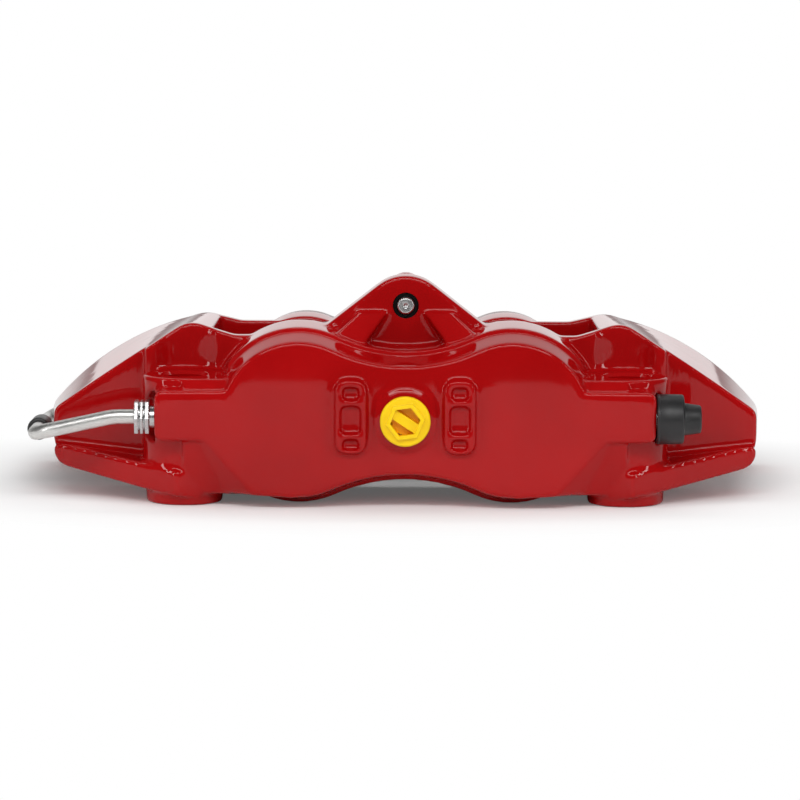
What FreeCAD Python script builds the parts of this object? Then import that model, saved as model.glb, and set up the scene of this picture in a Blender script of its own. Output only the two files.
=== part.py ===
import FreeCAD, Part
import math
import os
from types import SimpleNamespace

import Sketcher
from FreeCAD import Placement, Rotation, Vector

# Fixed four-piston monobloc brake caliper, radial mount, with pads, pistons, seals and crossover pipe.
# Origin: midway between the two mounting bolts, on the plane of their mounting faces.
# +X along the caliper, +Y outboard along the wheel axle, +Z radially outward. Millimetres.
# Every piece is drawn about the disc's middle plane and then placed at bolt_line along Y.

doc = FreeCAD.newDocument("brake_caliper")

SIZES = {
    # mounting to the upright
    "bolt_pitch": 152,
    "bolt_line": 55,
    "bolt_hole": 14.5,
    "bolt_hole_chamfer": 1,
    "lug_foot_diameter": 26.4,
    "lug_foot_height": 5,
    "boss_diameter": 29,
    "seat_height": 44,
    "socket_radius": 16,
    # brake disc that runs in the slot
    "disc_diameter": 350,
    "disc_thickness": 32,
    "disc_rise": 60.5,
    "disc_side_gap": 2.5,
    "disc_edge_gap": 5,
    # cylinders
    "half_width": 75,
    "piston_pitch": 73,
    "piston_height": 30.7,
    "piston_diameter": 38,
    "piston_length": 27,
    "piston_wall": 5,
    "piston_floor": 6,
    "bore_floor": 8,
    "bore_fit": 0.05,
    "bulge_radius": 26.5,
    "skirt": 3.8,
    "nose_flare": 2.4,
    "shoulder": 13,
    "waist_top": 49,
    "waist_bottom": 12.2,
    "outer_bulge_radius": 21.4,
    "outer_skirt": 2,
    "outer_waist_top": 44,
    "outer_shoulder": 24,
    "seal_groove_depth": 2.4,
    "apron_top_reach": 68.3,
    "apron_foot_reach": 51.3,
    "apron_foot": 4.6,
    "apron_depth": 9,
    "apron_spread": 13.5,
    # pads
    "pad_length": 131,
    "pad_foot": 6,
    "pad_rim_gap": 6.5,
    "pad_running_gap": 0.75,
    "friction_thickness": 11,
    "plate_thickness": 5.5,
    "shim_thickness": 0.7,
    "contact_gap": 0.1,
    "pad_pocket_half": 35,
    "pad_end_gap": 0.5,
    "abutment_thickness": 1,
    "tab_half_width": 8,
    # retaining pin and its ears
    "pin_height": 67,
    "pin_diameter": 6,
    "pin_tail_diameter": 3.4,
    "sleeve_diameter": 9,
    "ear_thickness": 11,
    "ear_top": 77.2,
    "ear_crown_radius": 15.4,
    "ear_slope": 38,
    "outer_ear_top": 70,
    "outer_ear_thickness": 7,
    "spring_thickness": 0.8,
    "spring_half": 24,
    "spring_knee_half": 19,
    "spring_drop": 7,
    "spring_tip_drop": 1.6,
    "spring_pin_gap": 0.3,
    "spring_tab_gap": 2,
    "spring_arm_neck": 2.5,
    # end bridges
    "near_length": 244,
    "far_length": 257,
    "bridge_half": 43,
    "roof_radius": 91,
    "web_depth": 7,
    # ports, pipe and bleed screws
    "block_end": 85.7,
    "block_top": 40.5,
    "block_foot": 23.2,
    "gallery_line": 67.75,
    "gallery_diameter": 4.5,
    "port_diameter": 8,
    "port_depth": 12,
    "inlet_port_diameter": 10,
    "thread_gap": 0.1,
    "nut_flats": 11,
    "bleed_flats": 9,
    "nut_length": 5,
    "neck_diameter": 7.6,
    "neck_length": 1.8,
    "pipe_diameter": 5,
    "pipe_wall": 0.8,
    "pipe_near_end": 127,
    "pipe_near_height": 24.4,
    "pipe_far_end": 132.2,
    "pipe_far_height": 12.5,
    "pipe_bend": 9,
    "hose_diameter": 7.8,
    "hose_start": 38,
    "hose_length": 34,
    "cap_diameter": 17.2,
    "cap_length": 9.5,
    "spot_face_gap": 0.5,
    "raised_pad_width": 10.8,
    "raised_pad_rim": 2.6,
    "raised_pad_foot": 19.3,
    "raised_pad_top": 44.8,
    "raised_pad_height": 2.6,
    "inlet_boss_diameter": 21,
    "inlet_flange_diameter": 17.2,
}


class Size:
    """A length that carries both its value and the expression that binds it to the sheet."""

    def __init__(self, value, text):
        self.value = float(value)
        self.text = text

    def joined(self, other, sign, value, swap=False):
        other_text = other.text if isinstance(other, Size) else repr(other)
        first, second = (other_text, self.text) if swap else (self.text, other_text)
        return Size(value, f"({first} {sign} {second})")

    def __add__(self, other):
        return self.joined(other, "+", self.value + number(other))

    def __radd__(self, other):
        return self.joined(other, "+", number(other) + self.value, swap=True)

    def __sub__(self, other):
        return self.joined(other, "-", self.value - number(other))

    def __rsub__(self, other):
        return self.joined(other, "-", number(other) - self.value, swap=True)

    def __mul__(self, other):
        return self.joined(other, "*", self.value * number(other))

    def __rmul__(self, other):
        return self.joined(other, "*", number(other) * self.value, swap=True)

    def __truediv__(self, other):
        return self.joined(other, "/", self.value / number(other))

    def __neg__(self):
        return Size(-self.value, f"(-1 * {self.text})")


def number(size):
    return size.value if isinstance(size, Size) else float(size)


def root(size):
    return Size(math.sqrt(size.value), f"sqrt({size.text})")


sheet = doc.addObject("Spreadsheet::Sheet", "Sizes")
for row, (alias, value) in enumerate(SIZES.items(), start=1):
    sheet.set(f"A{row}", alias)
    sheet.set(f"B{row}", str(value))
    sheet.setAlias(f"B{row}", alias)
doc.recompute()
S = SimpleNamespace(**{alias: Size(value, f"Sizes.{alias}") for alias, value in SIZES.items()})


def bind(item, name, size):
    item.setExpression(name, size.text if isinstance(size, Size) else repr(float(size)))


# ---------------------------------------------------------------- sketches

# Each origin plane with the way its sketch normal points along the remaining axis.
NORMALS = {"XY_Plane": 1, "XZ_Plane": -1, "YZ_Plane": 1}


def origin_plane(body, role):
    return next(item for item in body.Origin.OriginFeatures if item.Role == role)


def fix(sketch, kind, ids, size):
    index = sketch.addConstraint(Sketcher.Constraint(kind, *ids, number(size)))
    if isinstance(size, Size):
        sketch.setExpression(f"Constraints[{index}]", size.text)


def place_point(sketch, geometry, end, across, up):
    fix(sketch, "DistanceX", (geometry, end), across)
    fix(sketch, "DistanceY", (geometry, end), up)


def circle(across, up, radius):
    return ("circle", across, up, radius)


def arc(radius, turn):
    """An arc to the next corner; turn is 1 when it bends left and -1 when it bends right."""
    return ("arc", radius, turn)


def draw_circle(sketch, across, up, radius):
    centre = Vector(number(across), number(up), 0)
    index = sketch.addGeometry(Part.Circle(centre, Vector(0, 0, 1), number(radius)), False)
    place_point(sketch, index, 3, across, up)
    fix(sketch, "Radius", (index,), radius)


def arc_through(start, end, radius, turn):
    """The short arc from start to end that bends the given way."""
    chord = end - start
    rise = math.sqrt(max(radius**2 - (chord.Length / 2) ** 2, 0))
    left = Vector(-chord.y, chord.x, 0).normalize()
    centre = start + chord / 2 + left * rise * turn
    angles = [math.atan2((p - centre).y, (p - centre).x) for p in (start, end)]
    if turn < 0:
        angles.reverse()
    return Part.ArcOfCircle(Part.Circle(centre, Vector(0, 0, 1), radius), *angles)


def draw_loop(sketch, corners):
    """A closed outline of corners (across, up) or (across, up, rounding), with arcs between where given."""
    points, rounds, bends = [], [], []
    for entry in corners:
        if entry[0] == "arc":
            bends[-1] = entry
            continue
        points.append(entry[:2])
        rounds.append(entry[2] if len(entry) > 2 else None)
        bends.append(None)
    count = len(points)
    spots = [Vector(number(x), number(y), 0) for x, y in points]
    cuts = []
    for i in range(count):
        before = (spots[i - 1] - spots[i]).normalize()
        after = (spots[(i + 1) % count] - spots[i]).normalize()
        if rounds[i] is None:
            cuts.append((spots[i], spots[i]))
            continue
        setback = number(rounds[i]) / math.tan(before.getAngle(after) / 2)
        cuts.append((spots[i] + before * setback, spots[i] + after * setback))
    sides = []
    for i in range(count):
        start, end = cuts[i][1], cuts[(i + 1) % count][0]
        if bends[i] is None:
            sides.append((sketch.addGeometry(Part.LineSegment(start, end), False), 1, 2))
            continue
        radius, turn = bends[i][1:]
        index = sketch.addGeometry(arc_through(start, end, number(radius), turn), False)
        fix(sketch, "Radius", (index,), radius)
        sides.append((index, 1, 2) if turn > 0 else (index, 2, 1))
    for i in range(count):
        before, _, before_end = sides[i - 1]
        after, after_start, _ = sides[i]
        if rounds[i] is None:
            sketch.addConstraint(Sketcher.Constraint("Coincident", before, before_end, after, after_start))
            place_point(sketch, after, after_start, *points[i])
            continue
        into = spots[i] - spots[i - 1]
        out = spots[(i + 1) % count] - spots[i]
        turn = 1 if into.x * out.y - into.y * out.x > 0 else -1
        rounding = arc_through(cuts[i][0], cuts[i][1], number(rounds[i]), turn)
        index = sketch.addGeometry(rounding, False)
        first, last = (1, 2) if turn > 0 else (2, 1)
        corner = sketch.addGeometry(Part.Point(spots[i]), True)
        sketch.addConstraint(Sketcher.Constraint("Tangent", before, before_end, index, first))
        sketch.addConstraint(Sketcher.Constraint("Tangent", index, last, after, after_start))
        sketch.addConstraint(Sketcher.Constraint("PointOnObject", corner, 1, before))
        sketch.addConstraint(Sketcher.Constraint("PointOnObject", corner, 1, after))
        fix(sketch, "Radius", (index,), rounds[i])
        place_point(sketch, corner, 1, *points[i])


def draw(body, name, plane, at, loops):
    """A sketch on one of the body's origin planes, moved along its normal to the place at."""
    sketch = body.newObject("Sketcher::SketchObject", name)
    sketch.AttachmentSupport = (origin_plane(body, plane), [""])
    sketch.MapMode = "FlatFace"
    bind(sketch, "AttachmentOffset.Base.z", at * NORMALS[plane])
    for loop in loops:
        if loop[0] == "circle":
            draw_circle(sketch, *loop[1:])
        else:
            draw_loop(sketch, loop)
    return sketch


def rectangle(left, right, low, high, rounding=None):
    corners = [(left, low), (right, low), (right, high), (left, high)]
    return corners if rounding is None else [corner + (rounding,) for corner in corners]


def mirrored(half):
    """A closed outline from its left half, listed top to bottom."""
    right = []
    for entry in reversed(half):
        right.append(entry if entry[0] == "arc" else (-1 * entry[0],) + entry[1:])
    return half + right


# ---------------------------------------------------------------- features


def new_body(label):
    body = doc.addObject("PartDesign::Body", label)
    body.Label = label
    return body


def extrude(body, kind, name, plane, start, end, loops):
    sketch = draw(body, name + "_outline", plane, start, loops)
    feature = body.newObject("PartDesign::" + kind, name)
    feature.Profile = sketch
    along = NORMALS[plane] * (number(end) - number(start)) > 0
    bind(feature, "Length", end - start if number(end) > number(start) else start - end)
    feature.Reversed = along if kind == "Pocket" else not along
    feature.Refine = False
    return feature


def pad(body, name, plane, start, end, loops):
    return extrude(body, "Pad", name, plane, start, end, loops)


def pocket(body, name, plane, start, end, loops):
    return extrude(body, "Pocket", name, plane, start, end, loops)


def loft(body, name, plane, sections):
    """A ruled loft through outlines, each given as (place along the normal, outline)."""
    sketches = [
        draw(body, f"{name}_outline_{index}", plane, at, [outline])
        for index, (at, outline) in enumerate(sections)
    ]
    feature = body.newObject("PartDesign::AdditiveLoft", name)
    feature.Profile = sketches[0]
    feature.Sections = sketches[1:]
    feature.Ruled = True
    feature.Refine = False
    return feature


def turned(body, kind, name, axis, outline):
    """A profile on the XY plane turned about its H_Axis (X) or V_Axis (Y)."""
    sketch = draw(body, name + "_profile", "XY_Plane", 0, [outline])
    feature = body.newObject("PartDesign::" + kind, name)
    feature.Profile = sketch
    feature.ReferenceAxis = (sketch, [axis])
    feature.Angle = 360
    return feature


def hexagon(across, up, flats, turn=0):
    """A hexagon by its width across flats, one flat facing up before it is turned."""
    reach = flats / math.sqrt(3)
    corners = []
    for step in range(6):
        angle = math.radians(60 * step + turn)
        corners.append((across + reach * math.cos(angle), up + reach * math.sin(angle)))
    return corners


# ---------------------------------------------------------------- shared places

SIDES = (-1, 1)
bore_x = S.piston_pitch / 2
bore_radius = S.piston_diameter / 2 + S.bore_fit
wheel_axis_up = S.disc_rise - S.disc_diameter / 2
slot_half = S.disc_thickness / 2 + S.disc_side_gap
pad_face = S.disc_thickness / 2 + S.pad_running_gap
plate_face = pad_face + S.friction_thickness
plate_back = plate_face + S.plate_thickness
shim_back = plate_back + S.shim_thickness
piston_face = shim_back + S.contact_gap
bore_end = S.half_width - S.bore_floor
pocket_end = S.pad_length / 2 + S.pad_end_gap + S.abutment_thickness
block_start = S.piston_pitch / 2 + S.bulge_radius - 4
boss_x = S.bolt_pitch / 2
near_end = S.near_length / 2
far_end = S.far_length / 2
ear_front = S.pad_pocket_half + S.ear_thickness
tab_top = S.pin_height - S.pin_diameter / 2 - 0.6


# ---------------------------------------------------------------- caliper body


def bulge_outline(radius, top, bottom):
    """Two cylinder bulges joined by a waist whose arcs are tangent to both."""
    upper_rise = top - S.piston_height
    lower_rise = S.piston_height - bottom
    half = S.piston_pitch / 2
    waists = []
    for rise in (upper_rise, lower_rise):
        waist = (half * half + rise * rise - radius * radius) / (2 * (radius - rise))
        reach = radius / (radius + waist)
        waists.append((waist, half - half * reach, (waist + rise) * reach))
    upper, top_x, top_up = waists[0]
    lower, foot_x, foot_up = waists[1]
    return [
        (top_x, S.piston_height + top_up),
        arc(upper, -1),
        (-top_x, S.piston_height + top_up),
        arc(radius, 1),
        (-half - radius, S.piston_height),
        arc(radius, 1),
        (-foot_x, S.piston_height - foot_up),
        arc(lower, -1),
        (foot_x, S.piston_height - foot_up),
        arc(radius, 1),
        (half + radius, S.piston_height),
        arc(radius, 1),
    ]


def near_outline():
    """The inboard edge of the end bridges, with the low wall between them."""
    return mirrored([
        (-S.pad_length / 2 + 6, S.disc_rise - 4.5, 6),
        (-boss_x + 0.5, S.disc_rise + 0.5, 9),
        (-near_end, 30, 4),
        (-near_end, 11.5, 11),
        (-boss_x - 14, 5.2, 20),
        (-S.piston_pitch / 2 - 12, 0.5, 20),
        (-S.piston_pitch / 2 + 10, 0.5, 20),
        (-6, 6, 8),
    ])


def far_outline():
    """The outboard edge of the end bridges, lower, longer and crowned."""
    return mirrored([
        (-S.pad_length / 2 + 6, S.disc_rise - 8.5, 6),
        (-boss_x + 5.5, S.disc_rise - 5.9),
        arc(S.roof_radius / 6, 1),
        (-boss_x - 1.5, S.disc_rise - 7.1),
        arc(S.roof_radius, 1),
        (-far_end + 1.5, 22.8),
        arc(S.roof_radius / 14, 1),
        (-far_end, 18.8),
        (-far_end, 9, 6),
        (-boss_x - 20, 1.5, 20),
        (-S.piston_pitch / 2 - 12, 0, 20),
        (-S.piston_pitch / 2 + 10, 0, 20),
        (-6, 6, 8),
    ])


def add_bridges(body):
    loft(body, "bridges", "XZ_Plane", [(-S.bridge_half, near_outline()), (S.bridge_half, far_outline())])


def add_flanges(body):
    """Foot flanges whose front edge runs from each lug out to the tip of the bridge."""
    lug_front = -S.bolt_line - S.boss_diameter / 2
    strips = []
    for side in SIDES:
        strips.append([
            (side * near_end, 11, 6),
            (side * near_end, 17.5),
            (side * (near_end - 2), 18.5),
            (side * (boss_x - 6), 11),
            (side * (boss_x - 6), 2.5),
            (side * (boss_x + 14), 5.2),
        ])
    pad(body, "flanges", "XZ_Plane", -S.bridge_half + 6, lug_front - 2.5, strips)
    corners = []
    for side in SIDES:
        corners.append([
            (side * (boss_x - 7), lug_front + 2),
            (side * (boss_x - 7), lug_front - 3),
            (side * (near_end + 1), lug_front - 3),
            (side * (near_end + 1), -S.bridge_half - 1),
            (side * (near_end - 3), -S.bridge_half - 2),
            (side * (boss_x + 2), lug_front - 2),
        ])
    pocket(body, "flange_sweep", "XY_Plane", 21, 0, corners)


def add_cylinders(body):
    """Both cylinder blocks, each a straight skirt and a drafted nose that steps in from it."""
    inboard = (S.bulge_radius, S.waist_top, S.skirt, S.nose_flare, S.shoulder)
    outboard = (S.outer_bulge_radius, S.outer_waist_top, S.outer_skirt, S.outer_skirt, S.outer_shoulder)
    for sign, word, form in ((-1, "inboard", inboard), (1, "outboard", outboard)):
        radius, top, skirt, flare, shoulder = form
        start = sign * (S.half_width - shoulder)
        outline = bulge_outline(radius + skirt, top + skirt, S.waist_bottom - skirt)
        pad(body, f"{word}_skirt", "XZ_Plane", sign * S.pad_pocket_half, start, [outline])
        outline = bulge_outline(radius + flare, top + flare, S.waist_bottom - flare)
        nose = pad(body, f"{word}_nose", "XZ_Plane", start, sign * S.half_width, [outline])
        nose.setExpression("TaperAngle", f"-atan({flare.text} / {shoulder.text})")


def add_lugs(body):
    """Bolt bosses down to their feet, and the decks that tie them to the cylinder block."""
    columns = [circle(side * boss_x, -S.bolt_line, S.boss_diameter / 2) for side in SIDES]
    pad(body, "bosses", "XY_Plane", S.lug_foot_height, S.seat_height, columns)
    feet = [circle(side * boss_x, -S.bolt_line, S.lug_foot_diameter / 2) for side in SIDES]
    pad(body, "lug_feet", "XY_Plane", 0, S.lug_foot_height + 3, feet)
    front = S.bolt_line + S.boss_diameter / 2
    for side, word in zip(SIDES, ("left", "right")):
        deck = [
            (-front, S.seat_height),
            (-S.half_width + 1.5, S.block_top - 1),
            (-S.half_width + 1.5, S.block_foot + 1),
            (-front + 2, 4),
            (-S.bridge_half + 4, 4),
            (-S.bridge_half + 4, S.seat_height),
        ]
        pad(body, f"deck_{word}", "YZ_Plane", side * boss_x, side * bore_x, [deck])
        sections = []
        for back, spread in ((0, 0), (S.apron_depth, S.apron_spread)):
            top_x = side * (S.apron_top_reach + spread)
            sections.append((back - S.half_width, [
                (top_x, S.block_foot + 0.5),
                (side * (S.apron_foot_reach + spread), S.apron_foot),
                (side * (bore_x + 1.5), S.apron_foot - 0.9),
                (side * (bore_x - 12), S.apron_foot + 4),
                (side * (bore_x - 5), S.block_foot + 4),
                (top_x, S.block_foot + 4),
            ]))
        loft(body, f"apron_{word}", "XZ_Plane", sections)


def add_blocks(body):
    """Port blocks at the left end of each half and bleed blocks at the right end."""
    blocks = [
        rectangle(-S.block_end, -block_start, S.block_foot, S.block_top, 3),
        rectangle(block_start, S.block_end, S.block_foot, S.block_top, 3),
    ]
    pad(body, "inboard_blocks", "XZ_Plane", -S.bolt_line + 4, -S.half_width, blocks)
    pad(body, "outboard_blocks", "XZ_Plane", S.bridge_half - 6, S.half_width - 2, blocks)


def ear_outline(top, crown_radius, foot):
    """A triangular ear: two slopes tangent to a round crown."""
    slope = math.radians(SIZES["ear_slope"])
    crown_up = top - crown_radius
    reach = crown_radius * math.sin(slope)
    shoulder_up = crown_up + crown_radius * math.cos(slope)
    foot_x = reach + (shoulder_up - foot) / math.tan(slope)
    return [
        (-reach, shoulder_up),
        (-foot_x, foot),
        (foot_x, foot),
        (reach, shoulder_up),
        arc(crown_radius, 1),
    ]


def add_ears(body):
    """The ears that carry the pad pin, with two buttresses on the inboard one."""
    ear = ear_outline(S.ear_top, S.ear_crown_radius, S.waist_top - 4)
    pad(body, "inboard_ear", "XZ_Plane", -S.pad_pocket_half, -ear_front, [ear])
    ear = ear_outline(S.outer_ear_top, S.pin_diameter, S.outer_waist_top - 2)
    outer_front = S.pad_pocket_half + S.outer_ear_thickness
    pad(body, "outboard_ear", "XZ_Plane", S.pad_pocket_half, outer_front, [ear])
    for side, word in zip(SIDES, ("left", "right")):
        foot = [
            (side * 18, -ear_front - 16.5),
            (side * 33.5, -ear_front - 24),
            (side * 34, -ear_front + 2),
            (side * 16, -ear_front + 2),
        ]
        head = [
            (side * 6.3, -ear_front - 1.2),
            (side * 16, -ear_front - 1.2),
            (side * 17, -ear_front + 2),
            (side * 5.5, -ear_front + 2),
        ]
        sections = [(S.waist_top + 1, foot), (S.pin_height - 2.2, head)]
        loft(body, f"buttress_{word}", "XY_Plane", sections)


def add_face_details(body):
    """The inlet boss and the two raised casting pads on the inboard face."""
    face = -S.half_width
    inlet = [circle(0, S.piston_height, S.inlet_boss_diameter / 2)]
    pad(body, "inlet_boss", "XZ_Plane", face + 2, face - 1.2, inlet)
    raised, reliefs = [], []
    for side in SIDES:
        middle = side * (bore_x / 2 + 0.35)
        left, right = middle - S.raised_pad_width / 2, middle + S.raised_pad_width / 2
        raised.append(rectangle(left, right, S.raised_pad_foot, S.raised_pad_top, 4))
        left, right = left + S.raised_pad_rim, right - S.raised_pad_rim
        reliefs.append(rectangle(left, right, S.raised_pad_top - 7, S.raised_pad_top - 2.5, 1.2))
        low, high = S.raised_pad_foot + 6.9, S.raised_pad_top - 9
        reliefs.append(rectangle(left - 0.7, right + 0.7, low, high, 1.6))
        reliefs.append(rectangle(left, right, S.raised_pad_foot + 1.4, S.raised_pad_foot + 5.1, 1.2))
    pad(body, "raised_pads", "XZ_Plane", face + 2, face - S.raised_pad_height, raised)
    pocket(body, "raised_pad_reliefs", "XZ_Plane", face - S.raised_pad_height, face - 0.4, reliefs)


def cut_openings(body):
    """The disc slot, the pad window and the pockets around the bolts and webs."""
    slot = [circle(0, wheel_axis_up, S.disc_diameter / 2 + S.disc_edge_gap)]
    pocket(body, "disc_slot", "XZ_Plane", -slot_half, slot_half, slot)
    window = [rectangle(-pocket_end, pocket_end, -10, S.ear_top + 10)]
    pocket(body, "pad_window", "XZ_Plane", -S.pad_pocket_half, S.pad_pocket_half, window)
    sockets = [circle(side * boss_x, -S.bolt_line, S.socket_radius) for side in SIDES]
    pocket(body, "bolt_sockets", "XY_Plane", S.seat_height, S.ear_top, sockets)
    webs = []
    for side in SIDES:
        webs.append([
            (side * (boss_x + 14.5), 14),
            (side * (boss_x + 14.5), S.disc_rise),
            (side * (near_end + 6), S.disc_rise),
            (side * (near_end + 6), 18.2),
        ])
    pocket(body, "web_recesses", "XZ_Plane", -S.bridge_half - 1, -S.bridge_half + S.web_depth, webs)


def seal_groove_radius():
    return S.piston_diameter / 2 + S.seal_groove_depth


def cut_hydraulics(body):
    """Blind piston bores with two seal grooves each, joined by a gallery along each half."""
    for sign, word in zip(SIDES, ("inboard", "outboard")):
        mouth = sign * S.pad_pocket_half
        bores = [circle(side * bore_x, S.piston_height, bore_radius) for side in SIDES]
        grooves = [circle(side * bore_x, S.piston_height, seal_groove_radius()) for side in SIDES]
        pocket(body, f"{word}_bores", "XZ_Plane", mouth, sign * bore_end, bores)
        for name, (start, end) in SEAL_BANDS.items():
            pocket(body, f"{word}_{name}_grooves", "XZ_Plane", sign * start, sign * end, grooves)
        gallery = [circle(sign * S.gallery_line, S.piston_height, S.gallery_diameter / 2)]
        pocket(body, f"{word}_gallery", "YZ_Plane", -S.block_end, S.block_end, gallery)
        for side, end in zip(SIDES, ("left", "right")):
            face = side * S.block_end
            spot = [circle(sign * S.gallery_line, S.piston_height, S.cap_diameter / 2 + S.spot_face_gap)]
            pocket(body, f"{word}_{end}_spot_face", "YZ_Plane", face + side * 8, face, spot)
            port = [circle(sign * S.gallery_line, S.piston_height, S.port_diameter / 2)]
            pocket(body, f"{word}_{end}_port", "YZ_Plane", face, face - side * S.port_depth, port)
    inlet = [circle(0, S.piston_height, S.inlet_port_diameter / 2)]
    pocket(body, "inlet_port", "XZ_Plane", -S.half_width - 3, -S.half_width + S.port_depth - 2, inlet)


def cut_holes(body):
    """The bolt holes, chamfered where the bolts enter, and the bores of the pad pin."""
    bolts = [circle(side * boss_x, -S.bolt_line, S.bolt_hole / 2) for side in SIDES]
    pocket(body, "bolt_holes", "XY_Plane", 0, S.seat_height + 1, bolts)
    mouth = S.bolt_hole / 2 + S.bolt_hole_chamfer
    mouths = [circle(side * boss_x, -S.bolt_line, mouth) for side in SIDES]
    stop = S.seat_height - S.bolt_hole_chamfer
    chamfers = pocket(body, "bolt_chamfers", "XY_Plane", S.seat_height, stop, mouths)
    chamfers.TaperAngle = -45
    sleeve = [circle(0, S.pin_height, S.sleeve_diameter / 2)]
    pocket(body, "sleeve_bore", "XZ_Plane", -ear_front, -S.pad_pocket_half, sleeve)
    tail = [circle(0, S.pin_height, S.pin_tail_diameter / 2 + S.bore_fit)]
    pocket(body, "pin_bore", "XZ_Plane", S.pad_pocket_half, ear_front, tail)


SEAL_BANDS = {
    "dust": (S.pad_pocket_half + 3, S.pad_pocket_half + 6),
    "pressure": (S.pad_pocket_half + 10, S.pad_pocket_half + 14),
}


def make_caliper_body():
    body = new_body("caliper_body")
    add_bridges(body)
    add_flanges(body)
    add_cylinders(body)
    add_lugs(body)
    add_blocks(body)
    add_ears(body)
    add_face_details(body)
    cut_openings(body)
    cut_hydraulics(body)
    cut_holes(body)
    bind(body, "Placement.Base.y", S.bolt_line)
    return body


# ---------------------------------------------------------------- pistons and seals


def set_down(body, side, across=0):
    """Places a piece drawn for the inboard half; the outboard one is turned half round about Z."""
    body.Placement = Placement(Vector(), Rotation(Vector(0, 0, 1), 0 if side < 0 else 180))
    bind(body, "Placement.Base.x", across)
    bind(body, "Placement.Base.y", S.bolt_line)


def half_name(side):
    return "inboard" if side < 0 else "outboard"


def end_name(end):
    return "left" if end < 0 else "right"


def make_piston(side, end):
    """A cup open towards the pad, with a dust seal groove behind its rim and broken edges."""
    body = new_body(f"piston_{half_name(side)}_{end_name(end)}")
    radius = S.piston_diameter / 2
    front = -piston_face
    back = -piston_face - S.piston_length
    turned(body, "Revolution", "cup", "V_Axis", [
        (0, back),
        (radius - 1.5, back),
        (radius, back + 1.5),
        (radius, front - 1),
        (radius - 1, front),
        (radius - S.piston_wall + 0.5, front),
        (radius - S.piston_wall, front - 0.5),
        (radius - S.piston_wall, back + S.piston_floor + 1.5),
        (radius - S.piston_wall - 1.5, back + S.piston_floor),
        (0, back + S.piston_floor),
    ])
    set_down(body, side, end * bore_x)
    bind(body, "Placement.Base.z", S.piston_height)


def make_seal(name, side, end):
    """A square ring that fills its groove in the bore and wipes the piston."""
    body = new_body(f"{name}_seal_{half_name(side)}_{end_name(end)}")
    inner = S.piston_diameter / 2 + S.bore_fit
    outer = seal_groove_radius() - S.bore_fit
    start, stop = SEAL_BANDS[name]
    turned(body, "Revolution", "ring", "V_Axis", [
        (inner, -start - 0.1),
        (inner, -stop + 0.1),
        (outer, -stop + 0.1),
        (outer, -start - 0.1),
    ])
    set_down(body, side, end * bore_x)
    bind(body, "Placement.Base.z", S.piston_height)


# ---------------------------------------------------------------- pads


def pad_outline(half, foot, rim_gap, corner):
    """A pad seen along the axle: straight ends, an arched rim and an arched foot about the wheel axis."""
    rim = S.disc_diameter / 2 - rim_gap
    rim_up = wheel_axis_up + root(rim * rim - half * half)
    foot_rise = 9
    foot_radius = (half * half + foot_rise * foot_rise) / (2 * foot_rise)
    return [
        (-half, foot, corner),
        (-half * 0.55, foot),
        arc(foot_radius, -1),
        (half * 0.55, foot),
        (half, foot, corner),
        (half, rim_up),
        arc(rim, 1),
        (-half, rim_up),
    ]


def make_backplate(side):
    """A steel backplate with the tab that the pad pin holds down."""
    body = new_body(f"pad_{half_name(side)}_backplate")
    plate = pad_outline(S.pad_length / 2, S.pad_foot, S.pad_rim_gap - 1, 3)
    pad(body, "plate", "XZ_Plane", -plate_face, -plate_back, [plate])
    tab = rectangle(-S.tab_half_width, S.tab_half_width, S.disc_rise - 10, tab_top)
    pad(body, "tab", "XZ_Plane", -plate_face, -plate_back, [tab])
    set_down(body, side)


def make_friction(side):
    """The friction block, with a wear slot across the middle and chamfered ends."""
    body = new_body(f"pad_{half_name(side)}_friction")
    block = pad_outline(S.pad_length / 2 - 3, S.pad_foot + 1.5, S.pad_rim_gap, 3)
    pad(body, "block", "XZ_Plane", -pad_face, -plate_face, [block])
    slot = [rectangle(-1.5, 1.5, S.pad_foot - 5, S.disc_rise + 5)]
    depth = S.friction_thickness * 0.8
    pocket(body, "wear_slot", "XZ_Plane", -pad_face, -pad_face - depth, slot)
    end = S.pad_length / 2 - 3
    ramp = 5
    chamfers = []
    for sign in SIDES:
        chamfers.append([
            (sign * (end + 1), -pad_face + 1),
            (sign * (end + 1), -pad_face - ramp * 0.6),
            (sign * end, -pad_face - ramp * 0.6),
            (sign * (end - ramp), -pad_face),
            (sign * (end - ramp), -pad_face + 1),
        ])
    pocket(body, "lead_in", "XY_Plane", S.disc_rise + 5, 0, chamfers)
    set_down(body, side)


def make_shim(side):
    """A thin damping shim on the back of the plate."""
    body = new_body(f"pad_{half_name(side)}_shim")
    shim = pad_outline(S.pad_length / 2 - 4, S.pad_foot + 3, S.pad_rim_gap + 2, 3)
    pad(body, "shim", "XZ_Plane", -plate_back, -shim_back, [shim])
    windows = [circle(sign * bore_x, S.piston_height, 9) for sign in SIDES]
    pocket(body, "windows", "XZ_Plane", -plate_back, -shim_back, windows)
    set_down(body, side)


def make_abutment(side, end):
    """A stainless plate that the pad's end slides on, with a lip bent over the bridge."""
    body = new_body(f"abutment_{half_name(side)}_{end_name(end)}")
    outer = pocket_end
    inner = pocket_end - S.abutment_thickness
    low = S.pad_foot - 0.3
    high = S.seat_height - 1
    # The turned outboard set swaps left and right.
    way = end if side < 0 else -end
    plate = [rectangle(way * inner, way * outer, low, high)]
    pad(body, "plate", "XZ_Plane", -slot_half - 0.5, -S.pad_pocket_half + 0.2, plate)
    lip = [rectangle(way * (inner - 2), way * outer, low - S.abutment_thickness, low)]
    pad(body, "lip", "XZ_Plane", -slot_half - 0.5, -S.pad_pocket_half + 0.2, lip)
    set_down(body, side)


# ---------------------------------------------------------------- pin and spring


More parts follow.
